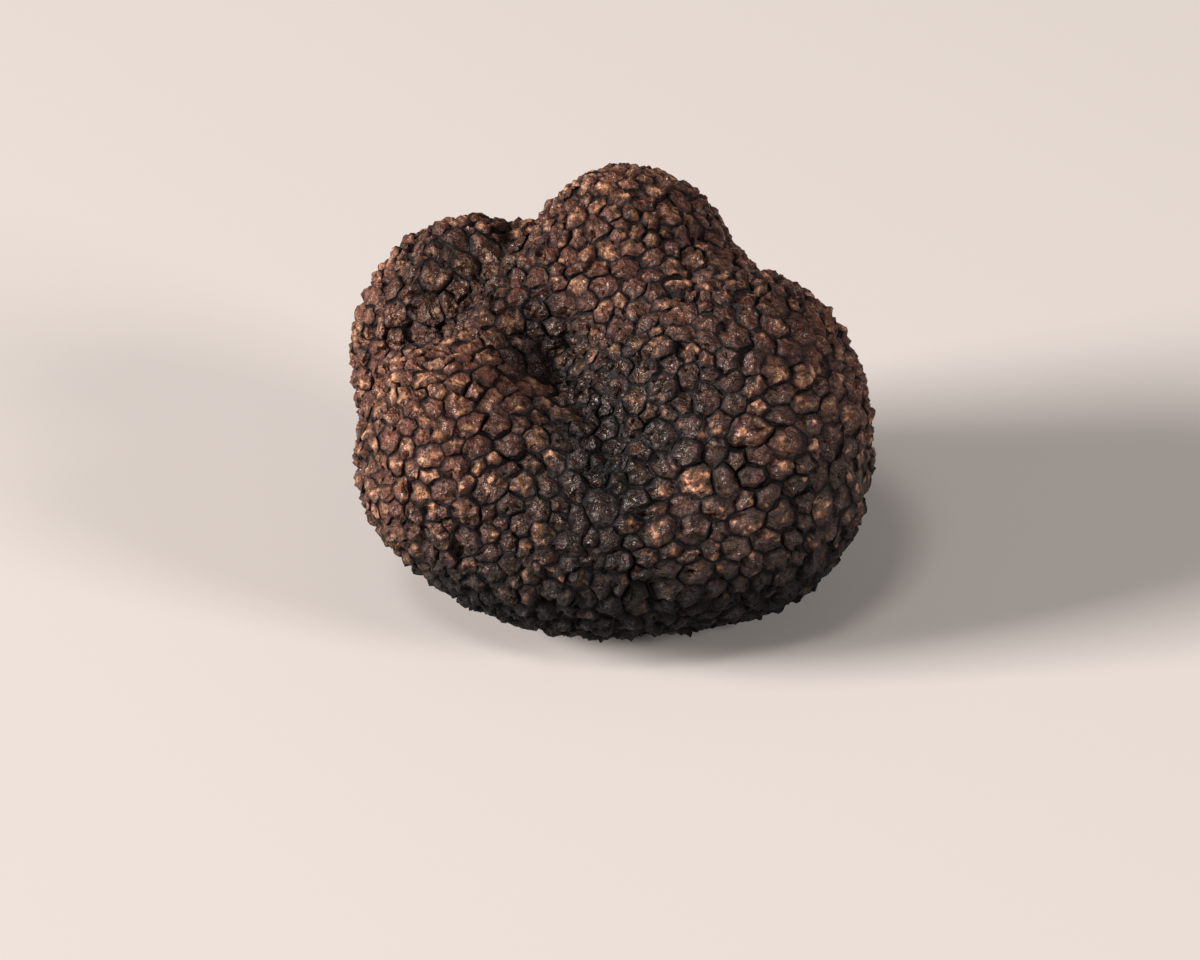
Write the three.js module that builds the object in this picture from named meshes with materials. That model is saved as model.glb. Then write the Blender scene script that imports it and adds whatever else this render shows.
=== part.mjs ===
// A black truffle, in millimetres, +Z up: one lobed tuber whose whole skin is a mosaic of low, many-sided
// pyramids, the warts, with a groove between every two of them. It rests on a small flat spot at Z = 0.
//
// The tuber is made in three steps. Lobes run together into a smooth body. Warts of many sizes are sown
// over the body until no more fit, and a net of triangles joins each to its neighbours. Each wart is then
// a fan of triangles, from its tip down to the corners that it shares with its neighbours in the grooves.
import * as THREE from "three";
import { ConvexHull } from "three/addons/math/ConvexHull.js";

const SEED = 2026;

// The lobes of the tuber: the middle of each, and its half-widths along X, Y and Z.
const LOBES = {
  heart: { middle: [7.5, -3, 16], half: [15, 15.5, 15.5] },
  rightCheek: { middle: [12.3, -3.5, 17.1], half: [12.1, 15.2, 16.3] },
  frontLeftKnob: { middle: [-14.5, -6, 17], half: [9.5, 11.5, 10.5] },
  backLeftKnob: { middle: [-12.9, 12.2, 17], half: [12.3, 11, 14.9] },
  crown: { middle: [1.7, 12, 26.1], half: [10.2, 10, 11.2] },
  belly: { middle: [-0.5, -8.5, 12.5], half: [18.5, 13, 11.5] },
  upperNeck: { middle: [-5, 6.5, 26], half: [6, 6.5, 6.6] },
  lowerNeck: { middle: [-9.2, 2.5, 23.2], half: [5.6, 6.5, 6.8] },
  saddle: { middle: [3, 6, 23.5], half: [12, 10, 10.5] },
  frontLeftFoot: { middle: [-8.5, -7.5, 14.5], half: [9, 11, 9.5] },
  seat: { middle: [-0.5, 1.5, 11.7], half: [13, 12.5, 12.6] },
};
const LOBE_BLEND = 1.2; // how softly one lobe runs into the next

// Folds, where lobes meet: each a path of points just off the skin, and how far the fold reaches round each
// of them. One starts as a round pit, the navel, and runs down the front. The other parts the back left knob
// from the front left knob and the neck.
const FOLDS = {
  navel: [
    { at: [-7.7, -2.6, 28.7], reach: 2.4 },
    { at: [-6, -3.8, 27.2], reach: 2.8 },
    { at: [-4.3, -8.4, 26.7], reach: 2.4 },
    { at: [-2.6, -11.9, 26.3], reach: 2.1 },
    { at: [-0.5, -14.8, 25.4], reach: 1.6 },
  ],
  backLeft: [
    { at: [-24.5, 6.3, 18], reach: 2 },
    { at: [-21.1, 3.5, 23], reach: 2.6 },
    { at: [-17.1, 3.5, 27.2], reach: 2.8 },
    { at: [-14.1, 5.9, 30.8], reach: 2.8 },
    { at: [-10.2, 9.9, 32.8], reach: 2.4 },
    { at: [-9.2, 12.9, 32.9], reach: 1.9 },
  ],
};
const FOLD_BLEND = 0.9; // how softly a fold runs out into the skin beside it

// A point inside the tuber from which all of its skin can be seen.
const CORE = new THREE.Vector3(-1, 2, 17);
const FAR_OUT = 45; // a distance from the core that is outside the tuber every way

// The warts. They are wider on the right cheek and under the belly, where the tuber has grown most, and
// narrower on the crown and the left knobs.
const WART_WIDTH = 2.3; // the average, across
const GROWTH_SPREAD = 0.1; // how far the width strays from the average with the growth, as a share of it
const OWN_SPREAD = 0.26; // how far it strays by chance
const WART_ROOM = 0.84; // the least distance between two warts, as a share of their average width
const DARTS = 50000; // how many times a wart is tried somewhere before the skin counts as full

// The relief. Tips are a little above the body's skin, and the corners between warts are below it.
const TIP_RISE = 0.1; // as a share of the wart's width
const TIP_SPREAD = 0.09; // how far a tip may be above or below that, as a share of the wart's width
const CORNER_SINK = 0.17; // as a share of the width of the warts around the corner

// Cracks: each a path of points on the skin, near which the grooves are deeper.
const CRACKS = [
  [[8, 6.5, 34], [7.5, 2.7, 33.2], [6.5, -4.1, 32.4]],
  [[11.4, -17.7, 23.8], [12.5, -18.5, 21.6], [17.1, -17.6, 18.9]],
  [[-13, -11.1, 26.3], [-10.4, -14.5, 23.5], [-8.4, -15.5, 22.4]],
  [[0.7, -20.9, 16.1], [2.7, -21.1, 10.4]],
];
const CRACK_REACH = 1.3; // how near to the path a corner must be
const CRACK_DEPTH = 0.4;

THREE.MathUtils.seededRandom(SEED);
const random = () => THREE.MathUtils.seededRandom();
const stray = (spread) => spread * (2 * random() - 1);

// About how far a point is outside one lobe; negative inside it.
function outsideLobe({ middle, half }, { x, y, z }) {
  const [dx, dy, dz] = [x - middle[0], y - middle[1], z - middle[2]];
  const share = Math.hypot(dx / half[0], dy / half[1], dz / half[2]);
  const steepness = Math.hypot(dx / half[0] ** 2, dy / half[1] ** 2, dz / half[2] ** 2);
  return (share * (share - 1)) / steepness;
}

// How far a point is inside a fold; negative outside it.
function insideFold(fold, point) {
  const nearest = new THREE.Vector3();
  const piece = new THREE.Line3();
  let inside = -Infinity;
  for (let i = 1; i < fold.length; i++) {
    piece.start.set(...fold[i - 1].at);
    piece.end.set(...fold[i].at);
    const along = piece.closestPointToPointParameter(point, true);
    const reach = THREE.MathUtils.lerp(fold[i - 1].reach, fold[i].reach, along);
    inside = Math.max(inside, reach - piece.at(along, nearest).distanceTo(point));
  }
  return inside;
}

// About how far a point is outside the smooth body under the warts; negative inside it.
function outsideBody(point) {
  let nearness = 0;
  for (const lobe of Object.values(LOBES)) nearness += Math.exp(-outsideLobe(lobe, point) / LOBE_BLEND);
  const outsideLobes = -LOBE_BLEND * Math.log(nearness);

  let either = Math.exp(outsideLobes / FOLD_BLEND);
  for (const fold of Object.values(FOLDS)) either += Math.exp(insideFold(fold, point) / FOLD_BLEND);
  return FOLD_BLEND * Math.log(either);
}

// The way the skin faces at a point: the direction in which the body is left fastest.
function skinNormal(point) {
  const normal = new THREE.Vector3();
  const beside = new THREE.Vector3();
  const step = 0.05;
  for (const axis of ["x", "y", "z"]) {
    beside.copy(point)[axis] += step;
    normal[axis] = outsideBody(beside);
    beside[axis] -= 2 * step;
    normal[axis] -= outsideBody(beside);
  }
  return normal.normalize();
}

// The point of the skin that lies in one direction from the core, met on the way in from far out.
function skinPointTowards(direction) {
  const point = new THREE.Vector3();
  let reach = FAR_OUT;
  let outside = FAR_OUT;
  while (outside > 0.001) {
    point.copy(CORE).addScaledVector(direction, reach);
    outside = outsideBody(point);
    reach -= 0.8 * outside;
  }
  return point;
}

// Moves a point near the skin straight onto it.
function ontoSkin(point) {
  for (let step = 0; step < 6; step++) point.addScaledVector(skinNormal(point), -outsideBody(point));
  return point;
}

function randomDirection() {
  const height = 2 * random() - 1;
  const turn = 2 * Math.PI * random();
  const reach = Math.sqrt(1 - height ** 2);
  return new THREE.Vector3(reach * Math.cos(turn), reach * Math.sin(turn), height);
}

// How wide the next wart would be at a point.
function nextWidth({ x, z }) {
  const growth = (x - z) / 20 + 1; // about -1 on the crown and the left knobs, 1 on the cheek and the belly
  return WART_WIDTH * (1 + GROWTH_SPREAD * growth + stray(OWN_SPREAD));
}

// Throws warts at the skin like darts, and keeps each one that has room for its own width.
function sowWarts() {
  const warts = [];
  for (let dart = 0; dart < DARTS; dart++) {
    const point = skinPointTowards(randomDirection());
    const width = nextWidth(point);
    const hasRoom = (other) => point.distanceTo(other.point) > (WART_ROOM * (width + other.width)) / 2;
    if (warts.every(hasRoom)) warts.push({ point, width });
  }
  return warts;
}

// The net is a map from each directed side of a triangle, "a>b", to its third corner. Corners are numbers
// in the list of warts, and run anticlockwise round the triangle seen from outside.
const side = (a, b) => `${a}>${b}`;

function addTriangle(net, a, b, c) {
  net.set(side(a, b), c);
  net.set(side(b, c), a);
  net.set(side(c, a), b);
}

// The angle of a triangle at one corner.
function angleAt(corner, a, b) {
  return a.clone().sub(corner).angleTo(b.clone().sub(corner));
}

// Replaces the side that two triangles share by the other diagonal, where that makes them less thin.
function flipIfThin(net, warts, a, b) {
  const c = net.get(side(a, b));
  const d = net.get(side(b, a));
  const [pa, pb, pc, pd] = [a, b, c, d].map((i) => warts[i].point);
  if (angleAt(pc, pa, pb) + angleAt(pd, pa, pb) < 1.02 * Math.PI || net.has(side(c, d))) return;
  net.delete(side(a, b));
  net.delete(side(b, a));
  addTriangle(net, a, d, c);
  addTriangle(net, b, c, d);
}

// Joins the warts into a net. Seen from the core they lie on a sphere, whose hull joins each to the ones
// around it. Thin triangles, where the core sees the skin at a slant, are then turned round.
function joinWarts(warts) {
  const numberOf = new Map();
  const directions = warts.map(({ point }, i) => {
    const direction = point.clone().sub(CORE).normalize();
    numberOf.set(direction, i);
    return direction;
  });
  const net = new Map();
  for (const { edge } of new ConvexHull().setFromPoints(directions).faces) {
    addTriangle(net, ...[edge.prev, edge, edge.next].map(({ vertex }) => numberOf.get(vertex.point)));
  }
  for (let round = 0; round < 8; round++) {
    for (const key of [...net.keys()]) {
      const [a, b] = key.split(">").map(Number);
      if (a < b && net.has(key)) flipIfThin(net, warts, a, b);
    }
  }
  return net;
}

// Every triangle of the net once, as its three corners.
function trianglesOf(net) {
  const triangles = [];
  for (const [key, c] of net) {
    const [a, b] = key.split(">").map(Number);
    if (a < b && a < c) triangles.push([a, b, c]);
  }
  return triangles;
}

// The point of the skin between three warts, nearer to the narrower ones.
function cornerBetween(three) {
  const corner = new THREE.Vector3();
  let weight = 0;
  for (const { point, width } of three) {
    corner.addScaledVector(point, 1 / width);
    weight += 1 / width;
  }
  return ontoSkin(corner.divideScalar(weight));
}

// How much deeper the groove is at a point for the cracks that pass it.
function crackDepth(point) {
  const nearest = new THREE.Vector3();
  const distances = CRACKS.flatMap((path) =>
    path.slice(1).map((end, i) => {
      const piece = new THREE.Line3(new THREE.Vector3(...path[i]), new THREE.Vector3(...end));
      return piece.closestPointToPoint(point, true, nearest).distanceTo(point);
    }),
  );
  return Math.min(...distances) < CRACK_REACH ? CRACK_DEPTH : 0;
}

function truffleGeometry() {
  const warts = sowWarts();
  const net = joinWarts(warts);

  // What would be below the flat spot is pressed up to it.
  const vertices = [];
  const addVertex = (point, out) => {
    const vertex = point.clone().addScaledVector(skinNormal(point), out);
    vertex.z = Math.max(vertex.z, 0);
    return vertices.push(vertex) - 1;
  };
  const tips = warts.map(({ point, width }) => addVertex(point, width * (TIP_RISE + stray(TIP_SPREAD))));
  const cornerOf = new Map();
  for (const [a, b, c] of trianglesOf(net)) {
    const three = [a, b, c].map((i) => warts[i]);
    const width = (three[0].width + three[1].width + three[2].width) / 3;
    const point = cornerBetween(three);
    const corner = addVertex(point, -CORNER_SINK * width - crackDepth(point));
    for (const key of [side(a, b), side(b, c), side(c, a)]) cornerOf.set(key, corner);
  }

  // The side of the net from one wart to another crosses one side of the first wart's own outline.
  const triangles = [];
  for (const key of net.keys()) {
    const [a, b] = key.split(">").map(Number);
    triangles.push(tips[a], cornerOf.get(side(b, a)), cornerOf.get(key));
  }
  const geometry = new THREE.BufferGeometry().setFromPoints(vertices);
  geometry.setIndex(triangles);
  geometry.computeVertexNormals();
  return geometry;
}

const skin = new THREE.MeshStandardMaterial({ color: 0x2b1c15, roughness: 0.72, metalness: 0, flatShading: true });
const truffle = new THREE.Mesh(truffleGeometry(), skin);
truffle.name = "truffle";

const part = new THREE.Group();
part.add(truffle);

export default part;
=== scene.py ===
# %% [markdown]
# # A black truffle
#
# A black truffle is a tuber that grows among oak roots. It is as wide as a walnut is long or a little more,
# and its whole skin is broken up into low, many-sided warts, with dark grooves between them.
#
# The truffle's form is settled before this script starts. This script dresses that solid: it turns every
# pyramid into a real wart, gives the skin its colours and its moist shine, and puts the truffle on a pale
# floor in soft light.

import math

import bmesh
import bpy
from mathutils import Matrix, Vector, noise
from mathutils.bvhtree import BVHTree


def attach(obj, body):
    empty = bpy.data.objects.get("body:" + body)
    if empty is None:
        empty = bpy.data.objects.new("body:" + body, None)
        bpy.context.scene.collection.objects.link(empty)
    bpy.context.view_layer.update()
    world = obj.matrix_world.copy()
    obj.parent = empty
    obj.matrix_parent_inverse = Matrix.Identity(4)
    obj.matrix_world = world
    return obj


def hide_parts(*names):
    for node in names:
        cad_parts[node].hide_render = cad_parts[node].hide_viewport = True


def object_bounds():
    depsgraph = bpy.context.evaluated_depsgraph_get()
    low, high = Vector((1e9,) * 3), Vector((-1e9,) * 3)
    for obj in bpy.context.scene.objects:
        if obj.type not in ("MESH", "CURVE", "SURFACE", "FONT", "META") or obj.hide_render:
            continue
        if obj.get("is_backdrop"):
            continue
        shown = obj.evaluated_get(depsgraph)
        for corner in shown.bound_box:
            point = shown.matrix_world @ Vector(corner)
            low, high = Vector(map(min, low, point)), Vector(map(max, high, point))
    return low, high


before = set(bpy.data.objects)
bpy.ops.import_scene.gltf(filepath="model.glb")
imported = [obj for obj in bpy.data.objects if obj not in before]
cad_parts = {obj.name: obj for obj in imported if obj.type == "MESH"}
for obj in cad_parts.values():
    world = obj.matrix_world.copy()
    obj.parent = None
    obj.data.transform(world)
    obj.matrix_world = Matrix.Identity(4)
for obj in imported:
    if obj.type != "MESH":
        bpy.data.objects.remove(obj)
cad_low, cad_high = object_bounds()

MM = 0.001
print("The truffle measures", [round(side / MM, 1) for side in cad_high - cad_low], "mm")

# %% [markdown]
# ## The camera
#
# The camera looks down on the truffle at about 30 degrees, from some 40 cm away, through a long lens. A
# close camera with a wide lens would swell the front of the truffle and hide the two knobs behind it.
# An empty or a constraint could aim it, but one rotation about X is all that a level camera needs here.

# %% Camera
AIM = Vector((-1.1, -3.5, 12.9)) * MM
DISTANCE = 429 * MM
ELEVATION = math.radians(30.2)
LENS = 136.3  # mm of focal length
SENSOR_WIDTH = 36  # mm

camera = bpy.data.objects.new("Camera", bpy.data.cameras.new("Camera"))
camera.data.lens = LENS
camera.data.sensor_width = SENSOR_WIDTH
camera.data.sensor_fit = "HORIZONTAL"
back = Vector((0, -math.cos(ELEVATION), math.sin(ELEVATION)))
camera.location = AIM + DISTANCE * back
camera.rotation_euler = (math.pi / 2 - ELEVATION, 0, 0)
bpy.context.scene.collection.objects.link(camera)
bpy.context.scene.camera = camera
print("The camera is", round(camera.location.z / MM), "mm above the floor")

# %% [markdown]
# ## A finer skin
#
# On the real truffle each wart is a little hill with steep sides and a crumpled top. A pyramid of six big
# facets can't show that. A Subdivision Surface modifier would make it finer, but would also melt the warts
# into waves. A Displace modifier would need a texture that knows where every wart is.
#
# The facets themselves know it. Each of them has one corner at the tip of a wart and two in the grooves.
# So the mesh is cut finer by plain subdivision, and each new vertex is told how near it is to a tip.

# %% A copy of the solid
WELD_DISTANCE = 0.001 * MM  # vertices nearer than this are one

skin = bmesh.new()
share_of_tip = skin.verts.layers.float.new("share_of_tip")
tip_place = skin.verts.layers.float_vector.new("tip_place")
tip_rise = skin.verts.layers.float.new("tip_rise")
outward = skin.verts.layers.float_vector.new("outward")
groove_depth = skin.faces.layers.float.new("groove_depth")

skin.from_mesh(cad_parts["truffle"].data)
bmesh.ops.remove_doubles(skin, verts=skin.verts, dist=WELD_DISTANCE)
print("The solid has", len(skin.faces), "facets")

# %% [markdown]
# Exactly six facets meet at a corner in a groove, because three warts meet there with two facets each. At
# a tip any number can meet. So a vertex without six facets is a tip, and from one tip all the others are
# found: the next wart's tip lies just across the outer edge of each facet.

# %% Which vertices are tips
FACETS_AT_A_CORNER = 6


def tip_across(facet, tip):
    """The outer edge of a tip's facet, and the tip on the far side of that edge."""
    outer_edge = next(edge for edge in facet.edges if tip not in edge.verts)
    neighbour = next(face for face in outer_edge.link_faces if face != facet)
    return outer_edge, next(vert for vert in neighbour.verts if vert not in outer_edge.verts)


def find_tips(skin):
    waiting = [next(vert for vert in skin.verts if len(vert.link_faces) != FACETS_AT_A_CORNER)]
    tips = set()
    while waiting:
        tip = waiting.pop()
        if tip not in tips:
            tips.add(tip)
            waiting += [tip_across(facet, tip)[1] for facet in tip.link_faces]
    return tips


tips = find_tips(skin)
print("The skin has", len(tips), "warts")

# %% [markdown]
# ## Deep and shallow grooves
#
# The grooves aren't all alike. As the tuber grows its skin splits into plates, and the plates split again
# into warts, so the grooves round a plate are deeper than those inside it. A few long seams run from one
# plate to the next, and in four places the skin has torn open along a crack.
#
# The seams and cracks are few and seen at once, so they are drawn. To draw a path in space would mean three
# numbers for every point, and most points would miss the skin. So each path is drawn flat, as two to four
# pixels of the camera's view, counted from its top left corner. A ray from the camera through each pixel
# finds the place on the skin.

# %% Seams and cracks
VIEW_WIDTH, VIEW_HEIGHT = 1200, 960  # pixels
SEAMS = [
    [(516, 465), (512, 502), (514, 565)],
    [(690, 395), (694, 440), (690, 487)],
    [(815, 490), (808, 530), (796, 575)],
    [(515, 487), (580, 492), (640, 478), (723, 487)],
    [(751, 262), (759, 290), (757, 320)],
    [(650, 225), (645, 268)],
    [(439, 472), (449, 529)],
]
CRACKS = [
    [(693, 235), (692, 259), (684, 305)],
    [(738, 455), (749, 481), (800, 501)],
    [(470, 400), (494, 441), (517, 456)],
    [(622, 546), (642, 600)],
]


def lay_on_skin(path, skin_to_hit):
    """The places on the skin, in mm, that the camera sees at the pixels of a path."""
    pixel = SENSOR_WIDTH / LENS / VIEW_WIDTH
    places = []
    for across, down in path:
        ray = Vector(((across - VIEW_WIDTH / 2) * pixel, (VIEW_HEIGHT / 2 - down) * pixel, -1))
        ray.rotate(camera.rotation_euler)
        places.append(skin_to_hit.ray_cast(camera.location, ray)[0] / MM)
    return places


def nearest_path(place, paths):
    """The distance from a place to the nearest of the paths."""
    distances = []
    for path in paths:
        for start, end in zip(path, path[1:]):
            along = (place - start).dot(end - start) / (end - start).length_squared
            distances.append((place - start.lerp(end, min(max(along, 0), 1))).length)
    return min(distances)


skin_to_hit = BVHTree.FromBMesh(skin)
seams = [lay_on_skin(path, skin_to_hit) for path in SEAMS]
cracks = [lay_on_skin(path, skin_to_hit) for path in CRACKS]
print("Laid", len(seams), "seams and", len(cracks), "cracks on the skin")

# %% [markdown]
# Every facet is now given the depth of the groove at its foot. The plates could be drawn by hand as well. It
# is less work to scatter points in space, which is what a Voronoi noise does, and to let each wart belong to
# the plate of the nearest point.

# %% How deep each groove is
PLATE = 4  # mm across
DEPTH_BETWEEN_PLATES = (0.8, 1.5)  # 1 is the depth that RELIEF gives, further down
DEPTH_IN_A_PLATE = (0.1, 0.6)
DEPTH_IN_A_SEAM = 1.7
DEPTH_IN_A_CRACK = 2.2
SEAM_REACH = 0.9  # mm to each side
CRACK_REACH = 1.22
CHANCES_PER_MM = 50
SMALLEST = 0.01  # what is smaller counts as nothing


def chances(place, draw=0):
    """Three numbers from 0 to 1 that look random, and are the same for one place in every run."""
    return noise.cell_vector((place + Vector((0, 0, draw))) * CHANCES_PER_MM)


def between(ends, share):
    return ends[0] + (ends[1] - ends[0]) * share


plate_of = {tip: noise.voronoi(tip.co / MM / PLATE)[1][0] for tip in tips}
for tip in tips:
    for facet in tip.link_faces:
        outer_edge, other_tip = tip_across(facet, tip)
        middle = (outer_edge.verts[0].co + outer_edge.verts[1].co) / 2 / MM
        same_plate = (plate_of[tip] - plate_of[other_tip]).length < SMALLEST
        depths = DEPTH_IN_A_PLATE if same_plate else DEPTH_BETWEEN_PLATES
        facet[groove_depth] = between(depths, chances(middle)[0])
        if nearest_path(middle, seams) < SEAM_REACH:
            facet[groove_depth] = DEPTH_IN_A_SEAM
        if nearest_path(middle, cracks) < CRACK_REACH:
            facet[groove_depth] = DEPTH_IN_A_CRACK
deepest = sum(facet[groove_depth] > DEPTH_BETWEEN_PLATES[1] for facet in skin.faces)
print(deepest, "of the facets end in a seam or a crack")

# %% [markdown]
# Subdividing blends whatever the vertices carry. A tip carries a share of 1 and a corner a share of 0, so
# a vertex halfway between them gets 0.5. The tips also carry their own place and how far they rise above
# the corners round them, and the corners carry zero. A new vertex then holds its share of both, and
# dividing by the share gives the tip's own numbers back.

# %% Subdividing
CUTS = 4

rises = []
for vert in skin.verts:
    vert[outward] = vert.normal
    if vert in tips:
        falls = [(vert.co - edge.other_vert(vert).co).dot(vert.normal) / MM for edge in vert.link_edges]
        rises.append(sum(falls) / len(falls))
        vert[share_of_tip] = 1
        vert[tip_place] = vert.co
        vert[tip_rise] = rises[-1]
usual_rise = sum(rises) / len(rises)
print("A tip rises", round(usual_rise, 2), "mm above its corners on average")

bmesh.ops.subdivide_edges(skin, edges=skin.edges, cuts=CUTS, use_grid_fill=True)
print("The finer skin has", len(skin.faces), "triangles")

# %% [markdown]
# ## The shape of a wart
#
# A wart is a blunt little pyramid with three to five flat sides that meet in ridges. A few creases run out
# from near its tip. Carving each wart by hand would take weeks, and a brush that stamps one wart all over
# the skin would show itself. So each wart gets a character of its own, from random numbers that depend
# only on where it is: how many sides it has, how steep each is, and where the creases run.

# %% Sides and creases
SIDES = (3, 5)
STEEPNESS = (0.6, 1.9)  # 1 takes up just the sides' share of the drop to the groove
LEAST_STEEP = 0.3
CREASES = (2, 4)
CREASE_TURN = 7  # radians, more than a full turn, so that creases start anywhere
CREASE_SHARPNESS = 4


def angle_round_tip(beside, out):
    """The angle at which a place lies, as seen from the tip."""
    side = out.orthogonal()
    return math.atan2(beside.dot(out.cross(side)), beside.dot(side))


def steepness_at(angle, tip):
    """How steep the wart is in one direction. The steepest of its flat sides wins there."""
    sides = round(between(SIDES, chances(tip, draw=1)[0]))
    steepest = LEAST_STEEP
    for number in range(sides):
        steepness, turn, _ = chances(tip, draw=3 + number)
        middle = (number + turn) * math.tau / sides
        steepest = max(steepest, between(STEEPNESS, steepness) * math.cos(angle - middle))
    return steepest


def crease_at(angle, chance):
    """How far down a crease a place is, from 0 to 1."""
    wave = math.cos(round(between(CREASES, chance)) * (angle + CREASE_TURN * chance))
    return max(0, wave) ** CREASE_SHARPNESS


print("Warts have", SIDES[0], "to", SIDES[1], "sides and", CREASES[0], "to", CREASES[1], "creases")

# %% [markdown]
# The sides alone would leave soft valleys. On the real skin a wart stands on steep walls, and the groove
# between the walls is narrow. So the rings of vertices round a tip are spread out towards the groove until
# the outermost stands right at its edge, and only from there does the skin drop steeply. Tips that stand
# out too far are levelled, and each wart leans a little.

# %% One wart
SLOT = 0.13  # mm from the middle of a groove to the first ring
WIDEST_SLOT = 0.3  # of the radius
WALL = 0.34  # mm from the middle of a groove to the top of its wall
WALL_CURVE = 1.4  # 1 makes the wall straight, and more rounds it off at the top
RELIEF = 0.84  # 1 keeps the grooves as far below the tips as they are on the solid
DOME = 0.75  # how much of that belongs to the sides, and not to the wall
FULLNESS = (1.1, 1.6)  # 1 makes the tip sharp, and more makes it blunt
LEVELLING = 0.8
LEAN = 0.25
CREASE_DEPTH = 0.3  # of the radius
FIRST_RING = 1 / (CUTS + 1)


def shape_wart(vert, depth):
    """Where a vertex lies on its wart, in mm, and how high up it is: 0 in a groove, 1 above the wall."""
    share = vert[share_of_tip]
    out = vert[outward].normalized()
    tip = vert[tip_place] / share / MM
    too_high = (vert[tip_rise] / share - usual_rise) * LEVELLING
    if share > 1 - SMALLEST:
        return tip - out * too_high, 1

    across = (vert.co / MM - tip) / (1 - share)  # from the tip all the way to the groove
    rise = -across.dot(out)
    beside = across + out * rise
    radius = beside.length
    angle = angle_round_tip(beside, out)
    slot = min(SLOT / radius, WIDEST_SLOT)
    spread = 1 - share ** (math.log(slot) / math.log(FIRST_RING))
    wall = max(0, 1 - radius * (1 - spread) / WALL) ** WALL_CURVE

    full, crease, _ = chances(tip)
    lean = (chances(tip, draw=2) - Vector((0.5, 0.5, 0.5))) * 2
    side = spread ** between(FULLNESS, full) * steepness_at(angle, tip)
    drop = rise * RELIEF * (DOME * side + (1 - DOME) * depth * wall)
    drop += too_high * (1 - spread)
    drop += CREASE_DEPTH * radius * crease_at(angle, crease) * math.sin(math.pi * spread)
    drop -= LEAN * beside.dot(lean) * spread * (1 - wall)
    return tip + beside * spread - out * drop, 1 - depth * wall


print("A wall is", WALL, "mm wide, and a tip rises", round(usual_rise * RELIEF, 2), "mm")

# %% [markdown]
# A vertex in a groove belongs to two or three warts at once. It has no share of any tip, but the vertices
# next to it do, and it takes the average of what those warts ask for.

# %% One place in a groove
def shape_groove(vert, depth):
    """Where a vertex in a groove lies, in mm, and how high it is."""
    place, out = vert.co / MM, vert[outward].normalized()
    beside = [edge.other_vert(vert) for edge in vert.link_edges]
    on_warts = [other for other in beside if other[share_of_tip] > SMALLEST]
    nearby = [other[tip_place] / other[share_of_tip] / MM for other in on_warts]
    rise = sum((tip - place).dot(out) for tip in nearby) / len(nearby)
    return place + out * rise * (1 - RELIEF * (DOME + (1 - DOME) * depth)), 1 - depth


print("A groove of depth 1 is", round(usual_rise * RELIEF, 2), "mm deep")

# %% [markdown]
# The grooves and tops are still too regular: straight lines and flat sides. The real skin has dried and
# shrunk, so it is crumpled all over. Noise that depends on the place alone bends the lines and dents the
# sides by a fraction of a millimetre, and opens no gaps, because vertices side by side move alike. A cell
# noise adds a few fine furrows that run across several warts.
#
# One of these noises, `noise_vector`, takes a seed from the clock when it isn't given one, and would bend
# the grooves another way in every run. So a seed is set before it is used.

# %% Crumpling
SEED = 2026
BEND = 0.2  # mm
BEND_WIDTH = 1
CRUMPLE_IN_A_GROOVE = 0.25  # of what it is on a top
CRUMPLES = ((1.1, 0.34), (0.55, 0.24))  # the width and the height of each size, in mm
GROOVE_UNEVENNESS = 0.15
UNEVENNESS_WIDTH = 2.3
FURROW_SPACING = 1.5
FURROW_WIDTH = 0.3
FURROW_DEPTH = 0.2

noise.seed_set(SEED)


def crumple(place, out, height):
    """Moves a place on the skin a little. The tops are crumpled the most, and the grooves the least."""
    nearest, second = noise.voronoi(place / FURROW_SPACING)[0][:2]
    furrow = max(0, 1 - (second - nearest) * FURROW_SPACING / FURROW_WIDTH)
    rough = sum(tall * noise.noise(place / wide) for wide, tall in CRUMPLES) - FURROW_DEPTH * furrow
    rough *= between((CRUMPLE_IN_A_GROOVE, 1), max(0, height))
    uneven = GROOVE_UNEVENNESS * noise.noise(place / UNEVENNESS_WIDTH)
    bend = BEND * noise.noise_vector(place / BEND_WIDTH)
    return place + bend + out * (rough + uneven * (1 - height))


print("Sizes of crumple, in mm:", [wide for wide, _ in CRUMPLES])

# %% [markdown]
# All vertices are worked out before any is moved, because a groove reads the places of its neighbours. Each
# also keeps three numbers that the colours need later: how high it is, how near the tip, and a random
# tone that is the same all over one wart.

# %% Moving the vertices
height_layer = skin.verts.layers.float.new("height")
nearness_layer = skin.verts.layers.float.new("nearness")
tone_layer = skin.verts.layers.float.new("tone")

shaped = []
for vert in skin.verts:
    on_wart = vert[share_of_tip] > SMALLEST
    depth = max(facet[groove_depth] for facet in vert.link_faces)
    place, height = shape_wart(vert, depth) if on_wart else shape_groove(vert, depth)
    place = crumple(place, vert[outward].normalized(), height)
    place.z = max(place.z, 0)
    tone = chances(vert[tip_place] / vert[share_of_tip] / MM)[2] if on_wart else 0.5
    shaped.append((vert, place * MM, height, tone))

for vert, place, height, tone in shaped:
    vert.co = place
    vert[height_layer] = height
    vert[nearness_layer] = vert[share_of_tip]
    vert[tone_layer] = tone
highest = max(vert.co.z for vert in skin.verts) / MM
print("Moved", len(shaped), "vertices. The highest is", round(highest, 1), "mm above the floor")

# %% [markdown]
# The skin becomes an object of its own, which rides on the truffle's body and takes the plain solid's
# place. It is shaded smooth so that the domes look round, but an edge that folds sharply stays sharp:
# a crumpled skin has both.

# %% The truffle
SHARP_FOLD = math.radians(18)

mesh = bpy.data.meshes.new("truffle_skin")
skin.to_mesh(mesh)
skin.free()
mesh.shade_smooth()
mesh.set_sharp_from_angle(angle=SHARP_FOLD)

truffle = bpy.data.objects.new("truffle_skin", mesh)
bpy.context.scene.collection.objects.link(truffle)
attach(truffle, "root")
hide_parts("truffle")
print("The truffle has", len(mesh.polygons), "triangles")

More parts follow.
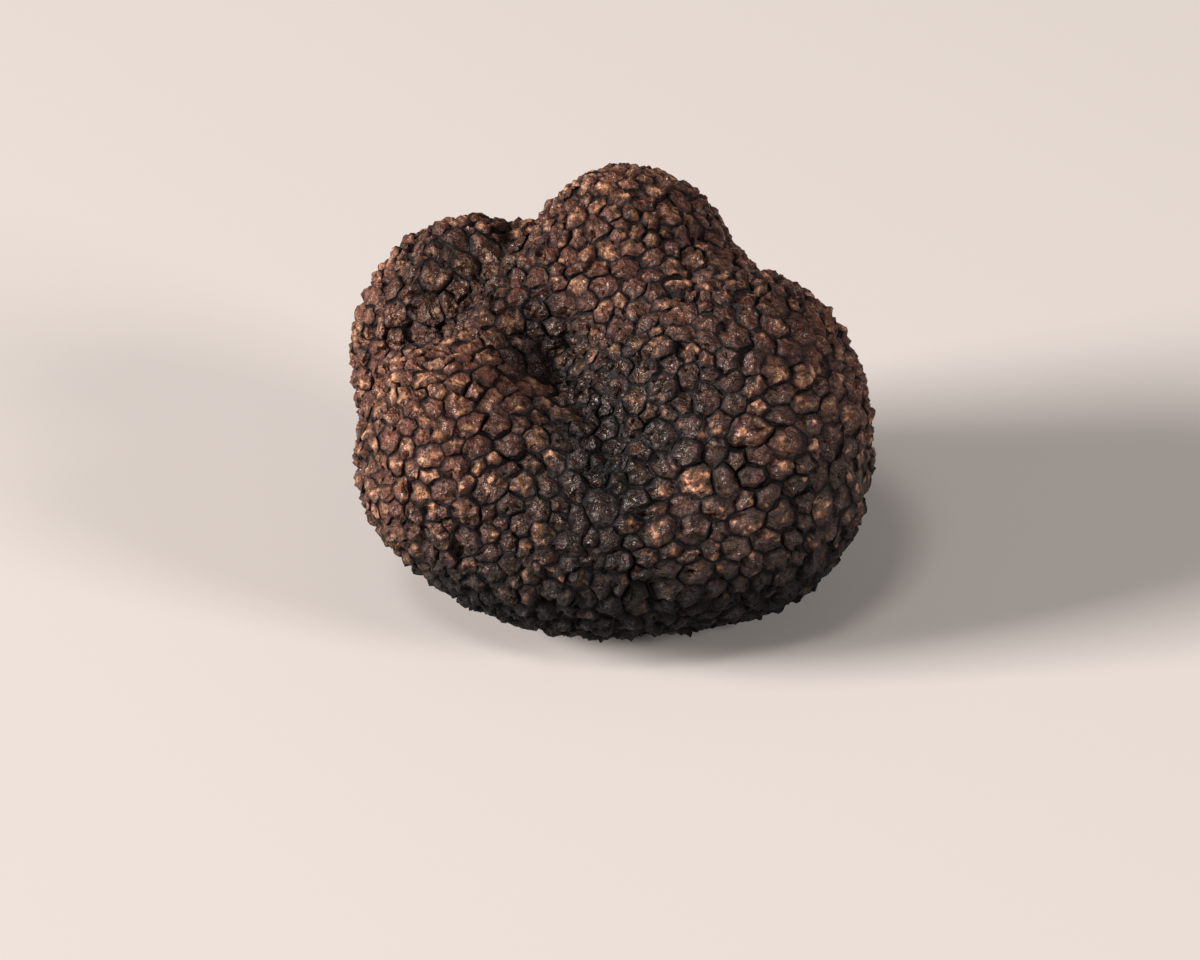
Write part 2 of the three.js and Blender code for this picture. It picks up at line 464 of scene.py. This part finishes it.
# %% [markdown]
# ## The finish
#
# A ripe black truffle is seldom plain black. Where its skin is dry it is a warm brown, and where it is
# damp it is close to black. The tops of some warts are rubbed to a tan, and the tan also serves as a painted
# highlight on the tops. The grooves are darkest, with a trace of purple or of green in places, and their
# darkness is partly painted shade.
#
# Painting this on a picture would need an unwrapped mesh. Clouds of noise in the truffle's own space need
# none, have no seams, and show as much detail as they are asked for. A material is a net of nodes, and a
# few short helpers keep the net readable: each of them adds one node and returns what comes out of it.

# %% Helpers for nodes
material = bpy.data.materials.new("truffle skin")
material.use_nodes = True
tree = material.node_tree
tree.nodes.clear()


def connect(socket, value):
    """Feeds a socket: with what comes out of another node, or with a plain number or colour."""
    if isinstance(value, bpy.types.NodeSocket):
        tree.links.new(value, socket)
    elif isinstance(value, tuple) and len(value) < len(socket.default_value):
        socket.default_value = (*value, 1)
    else:
        socket.default_value = value


def new_node(kind, inputs, **settings):
    node = tree.nodes.new("ShaderNode" + kind)
    for name, value in settings.items():
        setattr(node, name, value)
    for name, value in inputs.items():
        connect(node.inputs[name], value)
    return node


def combine(operation, values):
    total = values[0]
    for value in values[1:]:
        total = new_node("Math", {0: total, 1: value}, operation=operation).outputs[0]
    return total


def add(*values):
    return combine("ADD", values)


def multiply(*values):
    return combine("MULTIPLY", values)


def soft_step(value, start, end):
    """0 up to the start, 1 from the end on, and a smooth slope in between."""
    inputs = {"Value": value, "From Min": start, "From Max": end}
    return new_node("MapRange", inputs, interpolation_type="SMOOTHSTEP").outputs[0]


print("The helpers build on", material.name)

# %% [markdown]
# Colours are mixed with three more helpers. `colours` turns a number into a colour by a row of stops, and
# `blend` goes from one colour to another. `tint` multiplies a colour: a factor below 1 darkens it, as a
# stain or painted shade does, and a factor above 1 lightens it, as a painted light does.


# %% Helpers for colours
def colours(value, *stops):
    node = new_node("ValToRGB", {"Fac": value})
    while len(node.color_ramp.elements) < len(stops):
        node.color_ramp.elements.new(0.5)
    for element, (position, colour) in zip(node.color_ramp.elements, stops):
        element.position = position
        element.color = (*colour, 1)
    return node.outputs["Color"]


def blend(share, first, second, kind="MIX"):
    node = tree.nodes.new("ShaderNodeMix")
    node.data_type = "RGBA"
    node.blend_type = kind
    for name, value in (("Factor_Float", share), ("A_Color", first), ("B_Color", second)):
        connect(next(socket for socket in node.inputs if socket.identifier == name), value)
    return next(socket for socket in node.outputs if socket.identifier == "Result_Color")


def tint(colour, tint_factor):
    return blend(1.0, colour, tint_factor, "MULTIPLY")


print("Helpers for colours:", colours.__name__, blend.__name__, tint.__name__)

# %% [markdown]
# The object coordinates are scaled so that the noise can be thought of in millimetres: clouds with a
# scale of 2 are about half a millimetre wide. Every use of the clouds shifts them to another part of
# the noise, so that no two patterns coincide. The numbers that the vertices carry come in as attributes.

# %% Coordinates and clouds
object_place = new_node("TexCoord", {}).outputs["Object"]
scaled = new_node("VectorMath", {"Vector": object_place, "Scale": 1 / MM}, operation="SCALE")
in_mm = scaled.outputs["Vector"]
axes = new_node("SeparateXYZ", {"Vector": in_mm})
x, z = axes.outputs["X"], axes.outputs["Z"]


def attribute(name):
    return new_node("Attribute", {}, attribute_name=name).outputs["Fac"]


def clouds(scale, detail, shift, roughness=0.55):
    """Soft noise around 0.5."""
    moved = new_node("VectorMath", {0: in_mm, 1: (shift, shift, shift)}, operation="ADD")
    inputs = {"Vector": moved.outputs["Vector"], "Scale": scale, "Detail": detail, "Roughness": roughness}
    return new_node("TexNoise", inputs).outputs["Fac"]


def wavering(value, amount, scale, shift):
    """A value made uneven, so that what it marks has no clean outline."""
    return add(value, multiply(add(clouds(scale, detail=3, shift=shift), -0.5), amount))


height = wavering(attribute("height"), amount=0.5, scale=2, shift=3)
nearness = wavering(attribute("nearness"), amount=0.6, scale=1.3, shift=23)
tone = attribute("tone")
print("The material has", len(tree.nodes), "nodes so far")

# %% [markdown]
# ### Dry brown and damp black
#
# The ground colour is a mottle of four near-blacks, one of them a little green and one a little purple.
# A warm brown lies over it where the skin is dry: most on the crown and on the knobs at both sides, and
# less low down, where the truffle lay in the soil. Broad clouds make its border wander.

# %% The ground colour
GREENISH_BLACK = (0.0095, 0.0075, 0.0065)
BROWN_BLACK = (0.0145, 0.0083, 0.0068)
DULL_BROWN = (0.026, 0.0155, 0.012)
PURPLISH_BLACK = (0.02, 0.009, 0.0098)
DRYING = (2.7, 1.75, 1.35)
DAMPEST_X = 8  # mm
DRY_FROM_HEIGHT = 22  # mm above the floor
DRYNESS = 0.05
DRYNESS_SIDEWAYS = 0.0011  # for each square mm
DRYNESS_UPWARDS = 0.04  # for each mm

mottle = clouds(scale=1.1, detail=4, shift=17, roughness=0.6)
damp_skin = colours(
    mottle,
    (0.32, GREENISH_BLACK),
    (0.44, BROWN_BLACK),
    (0.54, DULL_BROWN),
    (0.66, PURPLISH_BLACK),
)
sideways = add(x, -DAMPEST_X)
from_the_sides = multiply(sideways, sideways, DRYNESS_SIDEWAYS)
from_above = multiply(add(z, -DRY_FROM_HEIGHT), DRYNESS_UPWARDS)
dryness = wavering(add(DRYNESS, from_the_sides, from_above), amount=1.2, scale=0.1, shift=5)
dry = soft_step(dryness, start=0, end=0.9)
colour = blend(dry, damp_skin, tint(damp_skin, DRYING))
print("The material has", len(tree.nodes), "nodes so far")

# %% [markdown]
# ### Rubbed and highlit tops
#
# Some warts have lost their dark outer skin to brushing and handling, and show tan. The tan also serves as
# a painted highlight where the light would catch the moist tops. Whole warts differ in this, so the tone of
# the wart counts, but only part of a wart's top is rubbed, so clouds count as well. The `nearness` to the
# tip keeps the tan out of the grooves.

# %% Tan where the tops are rubbed, partly a painted highlight
TAN_DARK = (0.045, 0.021, 0.012)
TAN = (0.09, 0.044, 0.024)
TAN_LIGHT = (0.24, 0.12, 0.07)
TAN_REGIONS, TAN_WARTS, TAN_WHERE_DRY = 0.3, 0.25, 0.12  # how much each counts

exposure = add(
    clouds(scale=0.9, detail=2, shift=31, roughness=0.5),
    multiply(clouds(scale=0.16, detail=2, shift=37), TAN_REGIONS),
    multiply(tone, TAN_WARTS),
    multiply(dry, TAN_WHERE_DRY),
)
# The tan mask: partly real wear, partly painted highlight on the tops.
rubbed_and_highlit = multiply(
    soft_step(exposure, start=0.84, end=1.04),
    soft_step(nearness, start=0.15, end=0.45),
)
tan_mottle = clouds(scale=1.2, detail=2, shift=47, roughness=0.5)
tan = colours(tan_mottle, (0.36, TAN_DARK), (0.5, TAN), (0.62, TAN_LIGHT))
colour = blend(rubbed_and_highlit, colour, tan)
print("The material has", len(tree.nodes), "nodes so far")

# %% [markdown]
# ### Dark edges and grooves
#
# Each wart gets darker from its top to its edge, and the groove itself is nearly black. Two tints do this,
# each partly the skin's own darker colour and partly painted shade, and the lighter top is partly a painted
# highlight. The first is wide and weak and follows the nearness to the tip. The second is narrow and strong
# and follows the height, so a shallow groove is darkened less than a deep one.

# %% Stains and painted shade in the grooves
EDGE_STAIN_AND_SHADE = (0.42, 0.36, 0.41)
TOP_LIGHTENING = (1.55, 1.5, 1.45)
GREEN_STAIN_AND_SHADE = (0.17, 0.2, 0.17)
BLACK_STAIN_AND_SHADE = (0.18, 0.16, 0.16)
PURPLE_STAIN_AND_SHADE = (0.25, 0.13, 0.18)

top = soft_step(nearness, start=0, end=0.8)
# Partly the skin's own darker edges, partly painted shade towards the grooves; the lighter top is partly a
# painted highlight.
colour = tint(colour, blend(top, EDGE_STAIN_AND_SHADE, TOP_LIGHTENING))
# The grooves: partly a dark stain tinted green and purple, partly painted shade, deepest in the deepest
# grooves.
groove_stain_and_shade = colours(
    clouds(scale=0.6, detail=2, shift=53),
    (0.42, GREEN_STAIN_AND_SHADE),
    (0.5, BLACK_STAIN_AND_SHADE),
    (0.58, PURPLE_STAIN_AND_SHADE),
)
above_groove = soft_step(height, start=0, end=0.6)
colour = blend(above_groove, tint(colour, groove_stain_and_shade), colour)
print("The material has", len(tree.nodes), "nodes so far")

# %% [markdown]
# ### Patches of painted shade and painted light
#
# The hollows where the lobes meet are darker, as painted shade: the navel, the hollow below it and the fold
# behind the left knob. The hollow below the navel is also a greyer skin. The middle of the front and the
# right of the crown get painted shade as well, the right cheek gets painted light, two more patches are only
# darker, and the underside gets painted shade towards the floor. Each patch is a tint that fades with the
# distance from its middle. Painting them by hand would need a texture for the whole skin, and these are few.

# %% Patches
PATCHES = {
    # Painted shade in the navel, the hollow (also a greyer skin), the fold, the middle of the front and the
    # right of the crown; painted light on the right cheek; the left end and the right shoulder are only
    # darker.
    "navel": {"middle": (-6, -2, 26), "reach": 7, "tint_factor": (0.3, 0.32, 0.34)},
    "hollow below the navel": {"middle": (0.5, -12, 26), "reach": 10, "tint_factor": (0.32, 0.34, 0.36)},
    "fold behind the left knob": {"middle": (-13, 7, 28), "reach": 12, "tint_factor": (0.4, 0.42, 0.45)},
    "middle of the front": {"middle": (-1, -20, 17), "reach": 8, "tint_factor": (0.6, 0.6, 0.6)},
    "left end": {"middle": (-24, -9, 17), "reach": 8, "tint_factor": (0.65, 0.62, 0.62)},
    "right of the crown": {"middle": (4, 7, 36), "reach": 6, "tint_factor": (0.65, 0.62, 0.62)},
    "right shoulder": {"middle": (14, -5, 33), "reach": 9, "tint_factor": (0.65, 0.62, 0.62)},
    "painted light on the right cheek": {"middle": (10, -19, 19), "reach": 8, "tint_factor": (1.6, 1.5, 1.45)},
}
PATCH_CORE = 0.4  # of the reach: up to here a patch is fully stained
UNDERSIDE_PAINTED_SHADE = (0.06, 0.06, 0.06)
UNDERSIDE = (7, 17)  # mm above the floor: fully stained, and not at all

# Each patch multiplies the colour by its factor, as listed above: most are painted shade, one is painted
# light.
for patch in PATCHES.values():
    reach = patch["reach"]
    away = new_node("VectorMath", {0: in_mm, 1: patch["middle"]}, operation="DISTANCE").outputs["Value"]
    uneven_away = wavering(away, amount=6, scale=0.3, shift=41)
    inside = soft_step(uneven_away, start=reach, end=PATCH_CORE * reach)
    colour = blend(inside, colour, tint(colour, patch["tint_factor"]))
# Painted shade: the skin gets darker towards the floor.
lifted = soft_step(wavering(z, amount=8, scale=0.3, shift=57), *UNDERSIDE)
colour = tint(colour, blend(lifted, UNDERSIDE_PAINTED_SHADE, (1, 1, 1)))
print("The material has", len(tree.nodes), "nodes so far")

# %% [markdown]
# ### Specks and painted glints
#
# From near by the skin is faintly speckled, and pale painted glints sit on the tops in clusters, where a
# moist skin would glint. Both are kept weak: strong specks as fine as these would make the skin look
# like stone.

# %% Fine specks and painted glints
PAINTED_GLINT = (0.24, 0.205, 0.19)
PAINTED_GLINT_STRENGTH = 0.12
DARK_SPECK, LIGHT_SPECK = (0.85, 0.85, 0.85), (1.15, 1.15, 1.15)

fine = clouds(scale=5, detail=2, shift=61)
colour = tint(colour, colours(fine, (0.35, DARK_SPECK), (0.65, LIGHT_SPECK)))
# Painted glints: pale spots on the tops, in clusters.
single_glints = soft_step(clouds(scale=6.5, detail=1, shift=91), start=0.56, end=0.66)
clusters = soft_step(clouds(scale=0.45, detail=2, shift=95), start=0.42, end=0.6)
painted_glints = multiply(single_glints, clusters, soft_step(nearness, start=0.4, end=0.75))
colour = blend(multiply(painted_glints, PAINTED_GLINT_STRENGTH), colour, PAINTED_GLINT)
print("The material has", len(tree.nodes), "nodes so far")

# %% [markdown]
# ### Crumples and shine
#
# The skin is thin and slightly moist. The light glints on many small folds, each about half a millimetre
# wide, on the tops more than at their edges. They are finer than the mesh, so a Bump node tilts the
# surface there. Still finer grain would be wrong: it would scatter the glints into a haze.
# The roughness varies as well, so that one fold shines and the next is dull, and the underside, where soil
# clings, is dull all over. The specular level is low: a strong one would turn the black grooves grey.

# %% Bump, roughness and the shader
FOLD_HEIGHT = 0.6 * MM
FOLDS_COUNT, DENTS_COUNT = 1.1, 0.5  # how much each counts in the relief
FOLDS_IN_A_GROOVE = 0.5  # of their height on a top
SPECULAR = 0.2
USUAL_ROUGHNESS = 0.52
ROUGHNESS_OF = {"folds": 0.6, "tops": -0.5, "painted_glints": -0.15, "underside": 0.4}

folds = clouds(scale=1.4, detail=2, shift=81)
dents = new_node("TexVoronoi", {"Vector": in_mm, "Scale": 1.3}).outputs["Distance"]
crumpled = add(FOLDS_IN_A_GROOVE, multiply(above_groove, 1 - FOLDS_IN_A_GROOVE))
relief = multiply(add(multiply(folds, FOLDS_COUNT), multiply(dents, DENTS_COUNT)), crumpled)
bump = new_node("Bump", {"Height": relief, "Strength": 1, "Distance": FOLD_HEIGHT}).outputs["Normal"]

roughness = add(
    USUAL_ROUGHNESS,
    multiply(clouds(scale=1.8, detail=3, shift=71), ROUGHNESS_OF["folds"]),
    multiply(top, ROUGHNESS_OF["tops"]),
    multiply(painted_glints, ROUGHNESS_OF["painted_glints"]),
    multiply(add(1, multiply(lifted, -1)), ROUGHNESS_OF["underside"]),
)
shader = new_node(
    "BsdfPrincipled",
    {"Base Color": colour, "Roughness": roughness, "Normal": bump, "Specular IOR Level": SPECULAR},
)
new_node("OutputMaterial", {"Surface": shader.outputs["BSDF"]})
mesh.materials.append(material)
print("The finished material has", len(tree.nodes), "nodes")

# %% [markdown]
# ## The floor
#
# A plain pale floor shows the truffle best. It is a sheet of dull, warm grey, much wider than the view.
# It is declared as stage, so it doesn't count as part of the truffle.

# %% Floor
FLOOR_HALF = 3  # m
FLOOR_COLOUR = (0.42, 0.386, 0.37, 1)
FLOOR_ROUGHNESS = 0.9
FLOOR_SPECULAR = 0.1

floor_mesh = bpy.data.meshes.new("floor")
corners = [(-FLOOR_HALF, -FLOOR_HALF, 0), (FLOOR_HALF, -FLOOR_HALF, 0)]
corners += [(FLOOR_HALF, FLOOR_HALF, 0), (-FLOOR_HALF, FLOOR_HALF, 0)]
floor_mesh.from_pydata(corners, [], [(0, 1, 2, 3)])
floor = bpy.data.objects.new("floor", floor_mesh)
bpy.context.scene.collection.objects.link(floor)

floor_paint = bpy.data.materials.new("pale floor")
floor_paint.use_nodes = True
paint = floor_paint.node_tree.nodes["Principled BSDF"]
paint.inputs["Base Color"].default_value = FLOOR_COLOUR
paint.inputs["Roughness"].default_value = FLOOR_ROUGHNESS
paint.inputs["Specular IOR Level"].default_value = FLOOR_SPECULAR
floor_mesh.materials.append(floor_paint)
floor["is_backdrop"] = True
print("The floor is", 2 * FLOOR_HALF, "m wide")

# %% [markdown]
# ## The light
#
# Most of the light comes from a window on the left, low enough to graze the warts: it lights one side of
# each and leaves the other dark, which is what makes the relief readable. Two weaker lamps and a pale room
# fill in the shadows. A sun lamp would be simpler, but its shadows have hard edges, and its glints on a
# moist skin would be mere points. The lamps stand more than 2 m away, so that the floor is lit evenly.

# %% Lamps and room
LAMPS = {
    "window": {"place": (-2.25, -0.62, 1), "width": 0.85, "power": 195, "colour": (1, 0.96, 0.92)},
    "ceiling": {"place": (-0.6, -1.25, 2.25), "width": 0.5, "power": 25, "colour": (1, 0.97, 0.94)},
    "second window": {"place": (2, -1.25, 1.12), "width": 0.75, "power": 56, "colour": (1, 0.97, 0.94)},
}
MIDDLE_OF_TRUFFLE = Vector((0, 0, 18)) * MM
ROOM_COLOUR = (0.95, 0.93, 0.92, 1)
ROOM_STRENGTH = 0.15

for name, lamp in LAMPS.items():
    light = bpy.data.lights.new(name, "AREA")
    light.size = lamp["width"]
    light.energy = lamp["power"]
    light.color = lamp["colour"]
    stand = bpy.data.objects.new(name, light)
    stand.location = lamp["place"]
    stand.rotation_euler = (MIDDLE_OF_TRUFFLE - stand.location).to_track_quat("-Z", "Y").to_euler()
    bpy.context.scene.collection.objects.link(stand)
    print("The", name, "is", round((MIDDLE_OF_TRUFFLE - stand.location).length, 2), "m away")

room = bpy.data.worlds.new("room")
room.use_nodes = True
background = room.node_tree.nodes["Background"]
background.inputs["Color"].default_value = ROOM_COLOUR
background.inputs["Strength"].default_value = ROOM_STRENGTH
bpy.context.scene.world = room

# %% [markdown]
# Blender's usual view transform washes out very dark colours. The standard one keeps the black skin deep.

# %% View transform
bpy.context.scene.view_settings.view_transform = "Standard"
print("View transform:", bpy.context.scene.view_settings.view_transform)

# %% [markdown]
# ## Sizes
#
# The dressed truffle has to stay the size of the solid. Both boxes are measured, and the difference is
# printed.

new_low, new_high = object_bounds()
growth = [round(side / MM, 2) for side in (new_high - new_low) - (cad_high - cad_low)]
print("The dressed truffle is wider, deeper and taller than the solid by", growth, "mm")
